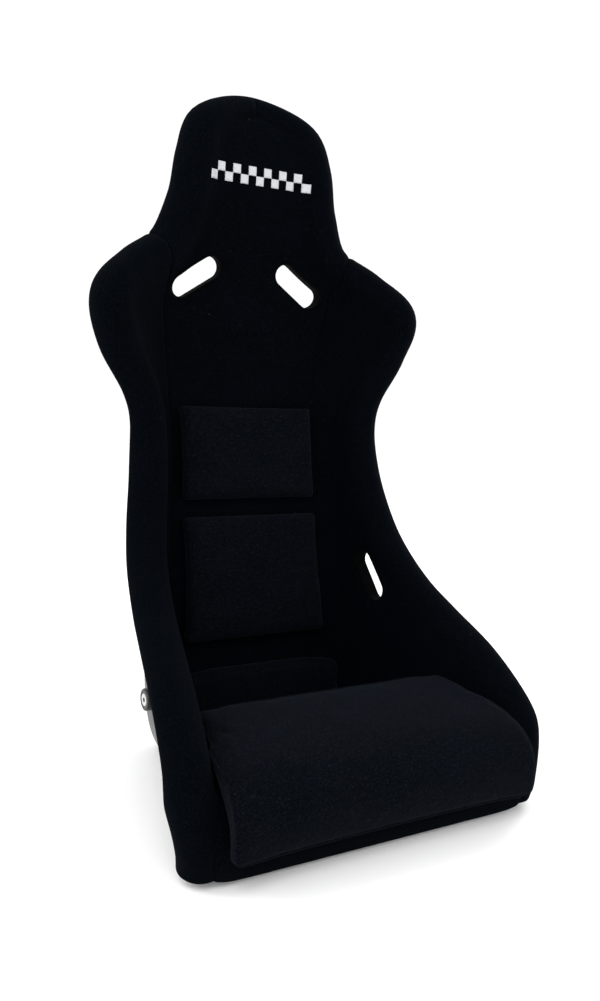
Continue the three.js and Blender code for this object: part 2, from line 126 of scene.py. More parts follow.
def unit(vectors):
    return vectors / np.maximum(np.linalg.norm(vectors, axis=-1, keepdims=True), 1e-12)


ALONG_STEP = 0.12  # steps of the finite differences, in stations
ACROSS_STEP = 0.01  # and in shares of the half section
CROWN_REACH = 0.3  # no frame is taken nearer to the crown, where the sections shrink to a point


def local_frame(u, share):
    """The unit normal towards the occupant, and the direction out across the rim, on the left side."""
    at = np.clip(u, ALONG_STEP, LAST - CROWN_REACH)
    across = np.clip(share, ACROSS_STEP, 1 - ACROSS_STEP)
    rim = np.ones_like(at)
    lengthwise = inner_face(at + ALONG_STEP, across) - inner_face(at - ALONG_STEP, across)
    crosswise = inner_face(at, across + ACROSS_STEP) - inner_face(at, across - ACROSS_STEP)
    normal = np.cross(crosswise, lengthwise)
    normal[..., 0] *= np.where(share == 0, 0, 1)
    normal = unit(normal)
    rimwise = inner_face(at + ALONG_STEP, rim) - inner_face(at - ALONG_STEP, rim)
    outward = unit(np.cross(rimwise, normal))
    towards_rim = inner_face(at, rim) - inner_face(at, rim - 3 * ACROSS_STEP)
    turn = np.sum(outward * towards_rim, axis=-1, keepdims=True) < 0
    return normal, np.where(turn, -outward, outward)


RIM_LINES = 50  # frames kept for each station along the rim
RIM_BLUR = 0.4  # their softening along the rim, in stations
RIM_SHARE = 0.62  # from here to the rim the surface's normal turns into the rim's own


def rim_frames():
    """The rim's frames, softened along the rim and over the crown."""
    u = np.arange(0, LAST * RIM_LINES + 1) / RIM_LINES
    reach = int(3 * RIM_BLUR * RIM_LINES)
    weight = np.exp(-0.5 * (np.arange(-reach, reach + 1) / (RIM_BLUR * RIM_LINES)) ** 2)
    soft = []
    for field in local_frame(u, np.ones_like(u)):
        before = np.repeat(field[:1], reach, axis=0)
        after = field[-2:-2 - reach:-1] * (-1, 1, 1)
        padded = np.vstack([before, field, after])
        soft.append(unit(np.stack([np.convolve(padded[:, k], weight, "valid") for k in range(3)], axis=1)))
    return soft


def rim_frame(u):
    place = np.clip(u, 0, LAST) * RIM_LINES
    low = np.clip(np.floor(place).astype(int), 0, LAST * RIM_LINES - 1)
    share = (place - low)[..., None]
    return [unit(field[low] * (1 - share) + field[low + 1] * share) for field in RIM_FRAMES]


def smooth_step(t):
    t = np.clip(t, 0, 1)
    return t * t * (3 - 2 * t)


RIM_FRAMES = rim_frames()
CROWN_NORMAL = rim_frame(np.array(LAST))[0]
CROWN_BLEND = 1.2  # stations over which the normals turn into the crown's own


def layer(u, v, distance):
    """Points at a distance from the inner face. Past the rim they go round the rolled edge."""
    u, v, distance = np.broadcast_arrays(np.asarray(u, float), np.asarray(v, float), distance)
    share = np.abs(v)
    normal, _ = local_frame(u, np.minimum(share, 1))
    rim_normal, outward = rim_frame(u)
    near_rim = smooth_step((share - RIM_SHARE) / (1 - RIM_SHARE))[..., None]
    normal = unit(normal * (1 - near_rim) + rim_normal * near_rim)
    near_crown = smooth_step(1 - (LAST - u) / CROWN_BLEND)[..., None]
    normal = unit(normal * (1 - near_crown) + CROWN_NORMAL * near_crown)
    mirror = np.where(v < 0, -1, 1)
    normal[..., 0] *= mirror
    outward[..., 0] *= mirror
    turn = (np.maximum(share - 1, 0) * math.pi)[..., None]
    distance = distance[..., None]
    radius = ROLL_RADIUS + distance
    flat = inner_face(u, v)
    rolled = flat + normal * (radius * np.cos(turn) - ROLL_RADIUS) + outward * radius * np.sin(turn)
    return np.where(share[..., None] <= 1, flat + normal * distance, rolled)


# ---- Mesh helpers ----


WELD = 2e-6  # points closer than this are one


def new_piece(name, points, faces, material, smooth=True):
    """A mesh object with one material, welded and with its faces pointing out."""
    mesh = bpy.data.meshes.new(name)
    mesh.from_pydata([tuple(p) for p in points], [], [tuple(int(i) for i in f) for f in faces])
    piece = bpy.data.objects.new(name, mesh)
    bpy.context.scene.collection.objects.link(piece)
    tidy_mesh(piece, smooth)
    mesh.materials.append(material)
    return piece


def tidy_mesh(piece, smooth=True):
    bm = bmesh.new()
    bm.from_mesh(piece.data)
    bmesh.ops.remove_doubles(bm, verts=bm.verts, dist=WELD)
    bmesh.ops.dissolve_degenerate(bm, edges=bm.edges, dist=WELD)
    bmesh.ops.delete(bm, geom=[e for e in bm.edges if not e.link_faces], context="EDGES")
    bmesh.ops.delete(bm, geom=[v for v in bm.verts if not v.link_edges], context="VERTS")
    bmesh.ops.recalc_face_normals(bm, faces=bm.faces)
    for face in bm.faces:
        face.smooth = smooth
    bm.to_mesh(piece.data)
    bm.free()


def grid_faces(rows, columns, start=0, flip=False):
    i, j = np.meshgrid(np.arange(rows - 1), np.arange(columns - 1), indexing="ij")
    a = start + (i * columns + j).ravel()
    quads = np.stack([a, a + 1, a + columns + 1, a + columns], axis=1)
    return quads[:, ::-1] if flip else quads


def border_ring(index):
    """The numbers round the edge of a grid of point numbers."""
    return np.concatenate([index[0], index[1:, -1], index[-1, -2::-1], index[-2:0:-1, 0]])


def closed_sheet(name, top, bottom, material):
    """A closed solid between two grids of points of the same shape."""
    rows, columns = top.shape[:2]
    count = rows * columns
    points = np.vstack([top.reshape(-1, 3), bottom.reshape(-1, 3)])
    ring = border_ring(np.arange(count).reshape(rows, columns))
    after = np.roll(ring, -1)
    walls = np.stack([ring, ring + count, after + count, after], axis=1)
    faces = np.vstack([
        grid_faces(rows, columns),
        grid_faces(rows, columns, start=count, flip=True),
        walls,
    ])
    return new_piece(name, points, faces, material)


def swept(name, rings, material, ends=True):
    """A tube through rings of points; without ends it closes on itself."""
    count, sides = rings.shape[:2]
    faces = []
    last = count if not ends else count - 1
    for i in range(last):
        for j in range(sides):
            a, b = i * sides, ((i + 1) % count) * sides
            k = (j + 1) % sides
            faces.append((a + j, a + k, b + k, b + j))
    if ends:
        faces.append(tuple(range(sides)))
        faces.append(tuple(range((count - 1) * sides, count * sides))[::-1])
    return new_piece(name, rings.reshape(-1, 3), faces, material)


def apply_modifier(piece, modifier):
    depsgraph = bpy.context.evaluated_depsgraph_get()
    depsgraph.update()
    evaluated = piece.evaluated_get(depsgraph)
    mesh = bpy.data.meshes.new_from_object(evaluated, depsgraph=depsgraph)
    piece.modifiers.remove(modifier)
    old = piece.data
    piece.data = mesh
    bpy.data.meshes.remove(old)


def combine(piece, others, operation):
    """Joins pieces to a piece, or cuts it with them."""
    for other in others:
        modifier = piece.modifiers.new("combine", "BOOLEAN")
        modifier.operation = operation
        modifier.solver = "EXACT"
        modifier.object = other
        apply_modifier(piece, modifier)
    tidy_mesh(piece)


def cut(piece, tools):
    combine(piece, tools, "DIFFERENCE")


def discard(*pieces):
    for piece in pieces:
        bpy.data.objects.remove(piece)


def surface_tree(piece):
    """A search tree of a piece's faces, for rays and nearest points."""
    bm = bmesh.new()
    bm.from_mesh(piece.data)
    tree = BVHTree.FromBMesh(bm)
    bm.free()
    return tree


# ---- Materials ----


class Nodes:
    """A material's node tree, with short calls for the nodes used here."""

    def __init__(self, name):
        self.material = bpy.data.materials.new(name)
        self.material.use_nodes = True
        self.tree = self.material.node_tree
        self.shader = self.tree.nodes["Principled BSDF"]
        self.place = self.add("ShaderNodeTexCoord").outputs["Object"]

    def add(self, kind, **values):
        node = self.tree.nodes.new(kind)
        for key, value in values.items():
            setattr(node, key, value)
        return node

    def link(self, output, socket):
        self.tree.links.new(output, socket)

    def noise(self, scale, detail=4, roughness=0.55, distortion=0, place=None):
        node = self.add("ShaderNodeTexNoise")
        node.inputs["Scale"].default_value = scale
        node.inputs["Detail"].default_value = detail
        node.inputs["Roughness"].default_value = roughness
        node.inputs["Distortion"].default_value = distortion
        self.link(place or self.place, node.inputs["Vector"])
        return node.outputs["Fac"]

    def spots(self, scale, place=None, randomness=1):
        node = self.add("ShaderNodeTexVoronoi")
        node.inputs["Scale"].default_value = scale
        node.inputs["Randomness"].default_value = randomness
        self.link(place or self.place, node.inputs["Vector"])
        return node

    def fade(self, value, low, high, start=0, end=1):
        """A grey that goes from start to end while a value goes from low to high."""
        node = self.add("ShaderNodeValToRGB")
        for element, position, grey in zip(node.color_ramp.elements, (low, high), (start, end)):
            element.position = position
            element.color = (grey, grey, grey, 1)
        self.link(value, node.inputs["Fac"])
        return node.outputs["Color"]

    def math(self, operation, a, b):
        node = self.add("ShaderNodeMath", operation=operation)
        for value, socket in ((a, node.inputs[0]), (b, node.inputs[1])):
            if isinstance(value, (int, float)):
                socket.default_value = value
            else:
                self.link(value, socket)
        return node.outputs[0]

    def mix(self, factor, a, b):
        node = self.add("ShaderNodeMix", data_type="RGBA")
        for value, socket in ((factor, node.inputs[0]), (a, node.inputs[6]), (b, node.inputs[7])):
            if isinstance(value, (int, float)):
                socket.default_value = value
            elif isinstance(value, tuple):
                socket.default_value = (*value, 1)
            else:
                self.link(value, socket)
        return node.outputs[2]

    def bump(self, height, distance, strength=1.0, normal=None):
        node = self.add("ShaderNodeBump")
        node.inputs["Distance"].default_value = distance
        node.inputs["Strength"].default_value = strength
        self.link(height, node.inputs["Height"])
        if normal is not None:
            self.link(normal, node.inputs["Normal"])
        return node.outputs["Normal"]

    def set(self, **values):
        for key, value in values.items():
            socket = self.shader.inputs[key.replace("_", " ")]
            if isinstance(value, (int, float)):
                socket.default_value = value
            elif isinstance(value, tuple):
                socket.default_value = (*value, 1)
            else:
                self.link(value, socket)


def velour(name, dark, light, fleck, sheen):
    """Short-pile velour: patches where the pile lies another way, fine fuzz, light fibre ends, lint."""
    n = Nodes(name)
    patches = n.fade(n.noise(17, detail=4, distortion=0.8), 0.38, 0.66)
    fuzz = n.noise(1700, detail=3, roughness=0.7)
    grain = n.noise(520, detail=4, roughness=0.7)
    base = n.mix(n.math("MULTIPLY", patches, 0.5), dark, light)
    base = n.mix(n.fade(fuzz, 0.4, 0.75, end=0.8), base, light)
    base = n.mix(n.fade(grain, 0.52, 0.74), base, fleck)
    lint_cells = n.spots(150)
    near = n.math("LESS_THAN", lint_cells.outputs["Distance"], 0.08)
    chosen = n.math("GREATER_THAN", lint_cells.outputs["Color"], 0.9)
    lint = n.math("MULTIPLY", near, chosen)
    base = n.mix(n.math("MULTIPLY", lint, 0.5), base, (0.09, 0.095, 0.11))
    rough = n.math("ADD", n.math("MULTIPLY", grain, 0.12), 0.86)
    pile = n.bump(fuzz, 0.0004, 0.8)
    pile = n.bump(grain, 0.0006, 0.7, pile)
    pile = n.bump(patches, 0.0008, 0.25, pile)
    n.set(Base_Color=base, Roughness=rough, Specular_IOR_Level=0.008, Normal=pile)
    n.set(Sheen_Weight=sheen, Sheen_Roughness=0.5, Sheen_Tint=(0.62, 0.74, 1.0))
    return n.material


def moulded(name, colour, roughness, scale, depth, gloss=0.5):
    """Moulded plastic, rubber or gelcoat: an uneven skin with fine scratches and dust."""
    n = Nodes(name)
    cloudy = n.noise(14, detail=5)
    skin = n.noise(scale, detail=3)
    worn = tuple(2.4 * c + 0.0005 for c in colour)
    base = n.mix(n.fade(cloudy, 0.42, 0.8, end=0.7), colour, worn)
    stretched = n.add("ShaderNodeMapping")
    stretched.inputs["Scale"].default_value = (30, 400, 90)
    n.link(n.place, stretched.inputs["Vector"])
    scratches = n.fade(n.noise(3, place=stretched.outputs[0]), 0.62, 0.7)
    rough = n.math("ADD", n.math("MULTIPLY", cloudy, 0.16), roughness - 0.08)
    rough = n.math("ADD", rough, n.math("MULTIPLY", scratches, 0.08))
    n.set(Base_Color=base, Roughness=rough, Normal=n.bump(skin, depth, 0.7))
    n.set(Specular_IOR_Level=gloss)
    return n.material


def hook_tape(name):
    """Hook-and-loop tape: rows of tiny hooks on a woven ground."""
    n = Nodes(name)
    hooks = n.spots(620, randomness=0.25).outputs["Distance"]
    weave = n.noise(900, detail=2)
    tips = n.fade(hooks, 0.1, 0.5, start=1, end=0)
    base = n.mix(tips, (0.006, 0.006, 0.007), (0.03, 0.03, 0.032))
    n.set(Base_Color=base, Roughness=0.7, Sheen_Weight=0.2)
    n.set(Normal=n.bump(weave, 0.0003, 0.5, n.bump(hooks, 0.0009)))
    return n.material


def open_foam(name):
    """Dark open-cell foam."""
    n = Nodes(name)
    cells = n.spots(700).outputs["Distance"]
    walls = n.fade(cells, 0.15, 0.55, start=1, end=0)
    base = n.mix(walls, (0.03, 0.03, 0.032), (0.1, 0.1, 0.105))
    n.set(Base_Color=base, Roughness=0.95, Specular_IOR_Level=0.1, Normal=n.bump(cells, 0.0012))
    return n.material


def plated_steel(name):
    """Zinc-plated steel with fine turning marks and a dull bloom."""
    n = Nodes(name)
    bloom = n.noise(180, detail=5)
    base = n.mix(bloom, (0.45, 0.46, 0.47), (0.7, 0.7, 0.68))
    rough = n.math("ADD", n.math("MULTIPLY", bloom, 0.25), 0.22)
    n.set(Base_Color=base, Roughness=rough, Metallic=1.0, Normal=n.bump(n.noise(1400), 0.0001, 0.4))
    return n.material


def satin_thread(name):
    """Light satin stitch: fine parallel threads with a soft gloss."""
    n = Nodes(name)
    wave = n.add("ShaderNodeTexWave", wave_type="BANDS", bands_direction="DIAGONAL")
    wave.inputs["Scale"].default_value = 420
    wave.inputs["Distortion"].default_value = 1.2
    wave.inputs["Detail"].default_value = 2
    wave.inputs["Detail Scale"].default_value = 3
    n.link(n.place, wave.inputs["Vector"])
    threads = wave.outputs["Fac"]
    soil = n.noise(60, detail=4)
    base = n.mix(threads, (0.36, 0.38, 0.41), (0.78, 0.8, 0.83))
    base = n.mix(n.math("MULTIPLY", soil, 0.25), base, (0.5, 0.52, 0.55))
    n.set(Base_Color=base, Roughness=0.5, Sheen_Weight=0.4, Normal=n.bump(threads, 0.0005, 0.9))
    return n.material


VELOUR = velour("velour", (0.0004, 0.0008, 0.0014), (0.0009, 0.0015, 0.0026), (0.0038, 0.0049, 0.0072), 0.008)
CUSHION_VELOUR = velour(
    "cushion_velour", (0.0007, 0.0011, 0.002), (0.0017, 0.0023, 0.0038), (0.0095, 0.0115, 0.0155), 0.018)
FOAM = open_foam("foam")
GELCOAT = moulded("gelcoat", (0.005, 0.0053, 0.006), 0.36, 260, 0.0002, gloss=0.32)
RUBBER = moulded("edging_rubber", (0.006, 0.006, 0.0065), 0.75, 700, 0.0002, gloss=0.2)
LINER_PLASTIC = moulded("liner_plastic", (0.0008, 0.0009, 0.0012), 0.8, 900, 0.00015, gloss=0.02)
HOOK_TAPE = hook_tape("hook_tape")
STEEL = plated_steel("zinc_steel")
THREAD = satin_thread("emblem_thread")

# ---- Harness slots ----


def softened(ring, times):
    """A closed ring of values, each averaged with its neighbours several times."""
    for _ in range(times):
        ring = (np.roll(ring, 1, axis=0) + 2 * ring + np.roll(ring, -1, axis=0)) / 4
    return ring


class Slot:
    """A stadium-shaped hole through the seat. Points in it are (along, across, depth)."""

    def __init__(self, name, centre, along, towards, length, width):
        self.name = name
        self.centre = np.array(centre)
        self.towards = unit(np.array(towards, float))
        self.along = unit(np.array(along, float))
        self.across = np.cross(self.towards, self.along)
        self.length = length
        self.width = width

    def outline(self, grow, count=96):
        """Points round the stadium grown by `grow`, evenly spaced."""
        radius = self.width / 2 + grow
        reach = (self.length - self.width) / 2
        total = 4 * reach + 2 * math.pi * radius
        points = []
        for distance in np.arange(count) * total / count:
            half = total / 2
            sign = 1 if distance < half else -1
            d = distance % half
            if d < 2 * reach:
                point = (reach - d, radius)
            else:
                angle = math.pi / 2 + (d - 2 * reach) / radius
                point = (-reach + radius * math.cos(angle), radius * math.sin(angle))
            points.append((sign * point[0], sign * point[1]))
        return np.array(points)

    def place(self, flat, depth):
        """Points given in the slot's own directions, as points of the seat."""
        depth = np.broadcast_to(depth, flat.shape[:-1])
        return (
            self.centre
            + flat[..., :1] * self.along
            + flat[..., 1:] * self.across
            + depth[..., None] * self.towards
        )

    def distance(self, points):
        """How far points lie outside the outline, seen along the hole."""
        offset = points - self.centre
        along = np.abs(offset @ self.along)
        across = offset @ self.across
        past = np.maximum(along - (self.length - self.width) / 2, 0)
        return np.hypot(past, across) - self.width / 2

    def tool(self, grow, depth=0.07):
        """A long bar of the grown outline, which cuts the hole."""
        outline = self.outline(grow)
        ends = np.stack([self.place(outline, -depth), self.place(outline, depth)])
        return swept("tool", ends, None)


LINER_WALL = 2.5 * MM
SHOULDER_AT = MM * np.array((86.5, 239, 692))
LAP_AT = MM * np.array((182, 70, 253))
SHOULDER_SLANT = math.radians(-34)
LAP_SLANT = math.radians(54)
SHOULDER_SIZE = (88 * MM, 33 * MM)  # length and width of the holes
LAP_SIZE = (82 * MM, 32 * MM)
SLOTS = []
for side, sign in (("left", 1), ("right", -1)):
    mirror = np.array((sign, 1, 1))
    shoulder_along = (sign * math.cos(SHOULDER_SLANT), 0, math.sin(SHOULDER_SLANT))
    lap_along = (0, math.cos(LAP_SLANT), math.sin(LAP_SLANT))
    SLOTS.append(Slot(
        f"shoulder_slot_liner_{side}", SHOULDER_AT * mirror, shoulder_along, (0, -1, 0), *SHOULDER_SIZE))
    SLOTS.append(Slot(
        f"lap_slot_liner_{side}", LAP_AT * mirror, lap_along, (-sign, 0, 0), *LAP_SIZE))


# ---- Upholstery panels ----

COVER_FACE = 15.2 * MM  # the covers' face under the cushions
BOLSTER_FACE = 16.2 * MM  # and on the bolsters
BOLSTER_START, BOLSTER_BLEND = 0.5, 0.35  # shares over which the one turns into the other
COVER_THICKNESS = 1.8 * MM
COVER_GAP = 0.2 * MM  # between a cover and its foam
LINING_FLOOR = 0.9 * MM  # the lowest that a cover's lining lies
FOAM_FACE_FLOOR = 0.7 * MM  # and a foam's face
FOAM_FLOOR = 0.3 * MM
SEAM_DEPTH = 4.2 * MM
SEAM_WIDTH = 8 * MM
ROLL_END = 2.03  # where the covers turn under, behind the rolled edge
TUCK_START = 1.82
TUCKED_FACE = 2.2 * MM
HEM = 0.22  # the covers' lower hem, in stations
HEMMED_FACE = 2.4 * MM
SLOT_DIMPLE = 4 * MM  # the covers are drawn in round the slots
DIMPLE_START = 1 * MM  # inside the outline
DIMPLE_WIDTH = 9 * MM
DIMPLE_REACH = 60 * MM  # from the slot's centre, past which the dimple fades
DIMPLE_FADE = 16 * MM

# The seam between the bolster and the middle panels: beside the lip, the pan, the back and the slots,
# then out over the roll at the neck.
SEAM = np.array([
    (0, 0.93), (1.4, 0.93), (2.1, 0.85), (2.7, 0.66), (3.4, 0.53), (5, 0.49), (7, 0.47), (9, 0.46),
    (11, 0.46), (12, 0.463), (13, 0.52), (13.7, 0.645), (14.2, 0.76), (14.45, 0.88), (14.58, 1.02),
    (14.68, 1.25), (14.76, 1.5), (14.82, ROLL_END),
])
LIP_TOP, PAN_TOP, BACK_TOP = 2.5, 7.5, 11.5  # the cross seams
EDGE_LINES = MM * np.array((0, 0.4, 1.1, 2.2, 3.7, 5.6, 8, 11))


def resampled(path, places):
    """Points of a (u, v) path at the given shares of its real length."""
    solid = layer(path[:, 0], path[:, 1], COVER_FACE)
    steps = np.linalg.norm(np.diff(solid, axis=0), axis=1)
    length = np.concatenate([[0], np.cumsum(steps)])
    share = length / length[-1]
    return np.stack([np.interp(places, share, path[:, k]) for k in range(2)], axis=1)


def graded(length, spacing):
    """Shares of a length, close together near both ends."""
    edge = EDGE_LINES * min(1, length / (4 * EDGE_LINES[-1]))
    inner = max(2, int((length - 2 * edge[-1]) / spacing))
    middle = np.linspace(edge[-1], length - edge[-1], inner + 1)
    return np.concatenate([edge[:-1], middle, length - edge[-2::-1]]) / length


def path_length(path):
    """The real length of a (u, v) path."""
    solid = layer(path[:, 0], path[:, 1], COVER_FACE)
    return float(np.sum(np.linalg.norm(np.diff(solid, axis=0), axis=1)))


def rounded(t):
    """0 to 1 along a quarter circle: steep at first, then level."""
    return np.sqrt(np.clip(1 - (1 - np.clip(t, 0, 1)) ** 2, 0, 1))


def face_height(u, v, edge):
    """The covers' face as a distance from the inner surface; `edge` is how far the nearest seam is."""
    share = np.abs(v)
    bolster = smooth_step((share - BOLSTER_START) / BOLSTER_BLEND)
    height = COVER_FACE + (BOLSTER_FACE - COVER_FACE) * bolster
    height = height - SEAM_DEPTH * (1 - rounded(edge / SEAM_WIDTH))
    tuck = rounded((ROLL_END - share) / (ROLL_END - TUCK_START))
    height = np.where(share > TUCK_START, TUCKED_FACE + (height - TUCKED_FACE) * tuck, height)
    return HEMMED_FACE + (height - HEMMED_FACE) * rounded(u / HEM)


def seam_distance(points, seams):
    """Distance from each point to the nearest seam point."""
    flat = points.reshape(-1, 3)
    best = np.full(len(flat), 1.0)
    for start in range(0, len(seams), 200):
        part = seams[start:start + 200]
        gap = np.linalg.norm(flat[:, None] - part[None], axis=2).min(axis=1)
        best = np.minimum(best, gap)
    return best.reshape(points.shape[:-1])


def panel(name, u, v):
    """A sewn cover and the foam under it, on grids of u and v."""
    flat = layer(u, v, COVER_FACE)
    seams = seam_distance(flat, SEAM_POINTS)
    height = face_height(u, v, seams)
    near_slots = np.min([slot.distance(flat) for slot in SLOTS], axis=0)
    dimple = SLOT_DIMPLE * (1 - rounded((near_slots + DIMPLE_START) / DIMPLE_WIDTH))
    away = np.min([np.linalg.norm(flat - slot.centre, axis=-1) for slot in SLOTS], axis=0)
    height = height - dimple * (1 - smooth_step((away - DIMPLE_REACH) / DIMPLE_FADE))
    top = layer(u, v, height)
    lining = layer(u, v, np.maximum(height - COVER_THICKNESS, LINING_FLOOR))
    foam_top = layer(u, v, np.maximum(height - COVER_THICKNESS - COVER_GAP, FOAM_FACE_FLOOR))
    floor = layer(u, v, FOAM_FLOOR)
    cover = closed_sheet(f"{name}_velour", top, lining, VELOUR)
    foam = closed_sheet(f"{name}_padding", foam_top, floor, FOAM)
    box = np.array([flat.reshape(-1, 3).min(0), flat.reshape(-1, 3).max(0)])
    tools = [t for t in CUT_TOOLS if overlaps(box, t)]
    for piece, node, material_slot in ((cover, f"{name}_cover", "velour"), (foam, f"{name}_foam", "foam")):
        if tools:
            cut(piece, tools)
        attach(piece, "seat")
        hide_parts(node)
    return cover


def overlaps(box, tool):
    """Whether a tool's box meets a box given by its lowest and highest corners."""
    points = np.array([v.co for v in tool.data.vertices])
    return bool(np.all(points.min(0) < box[1]) and np.all(points.max(0) > box[0]))


SPACING = 7 * MM
HEAD_SPACING = SPACING * 0.8
BASE, HEAD = 6.0, 16.0  # stations
SEAM_PATH = smooth_path(SEAM, 40 * len(SEAM))
seam_points = [layer(SEAM_PATH[:, 0], s * SEAM_PATH[:, 1], COVER_FACE) for s in (1, -1)]
for level in (LIP_TOP, PAN_TOP, BACK_TOP):
    k = int(np.argmin(np.abs(SEAM_PATH[:, 0] - level)))
    across = np.linspace(-SEAM_PATH[k, 1], SEAM_PATH[k, 1], 160)
    seam_points.append(layer(np.full(160, level), across, COVER_FACE))
SEAM_POINTS = np.vstack(seam_points)
CUT_TOOLS = [slot.tool(LINER_WALL) for slot in SLOTS]


def seam_rows(low, high):
    """Rows along the seam from one station to another."""
    part = SEAM_PATH[(SEAM_PATH[:, 0] >= low) & (SEAM_PATH[:, 0] <= high)]
    first, last = [(u, float(np.interp(u, SEAM_PATH[:, 0], SEAM_PATH[:, 1]))) for u in (low, high)]
    part = np.vstack([[first], part, [last]])
    return resampled(part, graded(path_length(part), SPACING))


def middle_panel(name, rows):
    """A panel from one bolster's seam to the other's."""
    width = 2 * path_length(np.stack([np.full(40, rows[0, 0]), np.linspace(0, rows[0, 1], 40)], axis=1))
    t = 2 * graded(width, SPACING) - 1
    u = np.repeat(rows[:, :1], len(t), axis=1)
    v = rows[:, 1:] * t[None]
    return panel(name, u, v)


def bolster_panel(side, sign):
    """A panel from the seam over the roll, spaced by its width at the base."""
    rows = seam_rows(0, SEAM[-1, 0])
    half = np.stack([np.full(60, BASE), np.linspace(0.5, ROLL_END, 60)], axis=1)
    t = graded(path_length(half), SPACING)
    u = np.repeat(rows[:, :1], len(t), axis=1)
    v = rows[:, 1:] + (ROLL_END - rows[:, 1:]) * t[None]
    return panel(f"bolster_{side}", u, sign * v)


def head_panel():
    """The neck between the seams, and the head from rim to rim, spaced by its width at the head."""
    lower = seam_rows(BACK_TOP, SEAM[-1, 0])
    upper = np.stack([np.linspace(SEAM[-1, 0], LAST, 60), np.full(60, ROLL_END)], axis=1)
    places = np.linspace(0, 1, int(path_length(upper) / SPACING))[1:]
    rows = np.vstack([lower, resampled(upper, places)])
    half = np.stack([np.full(60, HEAD), np.linspace(0, ROLL_END, 60)], axis=1)
    t = 2 * graded(2 * path_length(half), HEAD_SPACING) - 1
    u = np.repeat(rows[:, :1], len(t), axis=1)
    v = rows[:, 1:] * t[None]
    return panel("head", u, v)


middle_panel("lip", seam_rows(0, LIP_TOP))
middle_panel("pan", seam_rows(LIP_TOP, PAN_TOP))
middle_panel("back", seam_rows(PAN_TOP, BACK_TOP))
head = head_panel()
bolsters = {side: bolster_panel(side, sign) for side, sign in (("left", 1), ("right", -1))}

# ---- Shell and edging ----


SHELL_ROWS = 218


def shell_grid():
    """The shell's u and v, with lines at the flat's edge and at the rim."""
    rows = np.linspace(0, LAST, SHELL_ROWS)
    half = np.concatenate([
        np.linspace(0, FLAT_END, 12)[:-1],
        np.linspace(FLAT_END, 1, 26)[:-1],
        np.linspace(1, SHELL_ROLL_END, 14),
    ])
    columns = np.concatenate([-half[::-1], half[1:]])
    return np.meshgrid(rows, columns, indexing="ij")


def lathe(name, centre, axis, profile, material, sides=64):
    """A turned piece: profile is (radius, distance along the axis), closed on itself."""
    axis = unit(np.array(axis, float))
    first = unit(np.cross(axis, (0.0, 0.3, 1.0)))
    second = np.cross(axis, first)
    angle = np.linspace(0, 2 * math.pi, sides, endpoint=False)[:, None, None]
    radius, along = np.array(profile)[None, :, 0, None], np.array(profile)[None, :, 1, None]
    rings = np.array(centre) + axis * along + radius * (np.cos(angle) * first + np.sin(angle) * second)
    return swept(name, rings, material, ends=False)


INSERT_BOXES = [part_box(f"{name}_mount_insert_left") for name in ("front", "rear")]
BOSS_RADIUS = 16 * MM
BOSS_DEPTH = 30 * MM
INSERT_RADIUS = 9 * MM
POCKET_DEPTH = 14 * MM
BOSS_CUT = (24 * MM, -2 * MM)  # the bosses stop within the shell's wall, between these layers


def boss(face, y, z, sign):
    """A moulded boss on the flank, with a rounded face, a draft and the insert's pocket."""
    profile = [
        (INSERT_RADIUS + 0.3 * MM, -POCKET_DEPTH), (INSERT_RADIUS + 0.3 * MM, -0.6 * MM),
        (INSERT_RADIUS + 0.9 * MM, 0), (BOSS_RADIUS - 2 * MM, 0), (BOSS_RADIUS - 0.6 * MM, -0.6 * MM),
        (BOSS_RADIUS, -2 * MM), (BOSS_RADIUS + 0.6 * MM, -12 * MM), (BOSS_RADIUS + 2.5 * MM, -BOSS_DEPTH),
        (0, -BOSS_DEPTH), (0, -POCKET_DEPTH),
    ]
    return lathe("boss", (sign * face, y, z), (sign, 0, 0), profile, GELCOAT, sides=72)


def build_shell():
    """The bucket with its rolled edge, the bosses and the slots' holes."""
    u, v = shell_grid()
    shell = closed_sheet("bucket_shell", layer(u, v, 0.0), layer(u, v, SHELL_INSIDE), GELCOAT)
    u, v = np.meshgrid(np.linspace(2, 9, 60), np.linspace(-1, 1, 70), indexing="ij")
    inside = closed_sheet("inside", layer(u, v, BOSS_CUT[0]), layer(u, v, BOSS_CUT[1]), None)
    bosses = []
    for low, high in INSERT_BOXES:
        for sign in (1, -1):
            bosses.append(boss(high.x, (low.y + high.y) / 2, (low.z + high.z) / 2, sign))
            cut(bosses[-1], [inside])
    combine(shell, bosses, "UNION")
    cut(shell, CUT_TOOLS)
    discard(inside, *bosses)
    return shell


shell = build_shell()
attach(shell, "seat")
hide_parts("shell")


EDGING_AT, EDGING_REACH = 2.11, 0.075  # where it lies past the rim, and its half width
EDGING_LEVEL, EDGING_RISE = -1.6, 4.4  # the middle of its thickness, and half of it, in mm


def edging():
    """The rubber edging: a rounded section swept along the whole rolled edge."""
    travel = np.linspace(0, 2 * LAST, 400)
    u = np.where(travel <= LAST, travel, 2 * LAST - travel)[:, None]
    sign = np.where(travel <= LAST, 1, -1)[:, None]
    angle = np.linspace(0, 2 * math.pi, 14, endpoint=False)[None]
    v = EDGING_AT + EDGING_REACH * np.cos(angle)
    distance = (EDGING_LEVEL + EDGING_RISE * np.sin(angle)) * MM
    rings = layer(u + 0 * v, sign * v, distance + 0 * u)
    return swept("rubber_edging", rings, RUBBER)


trim = edging()
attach(trim, "seat")
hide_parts("edge_trim")

# ---- Cushions ----


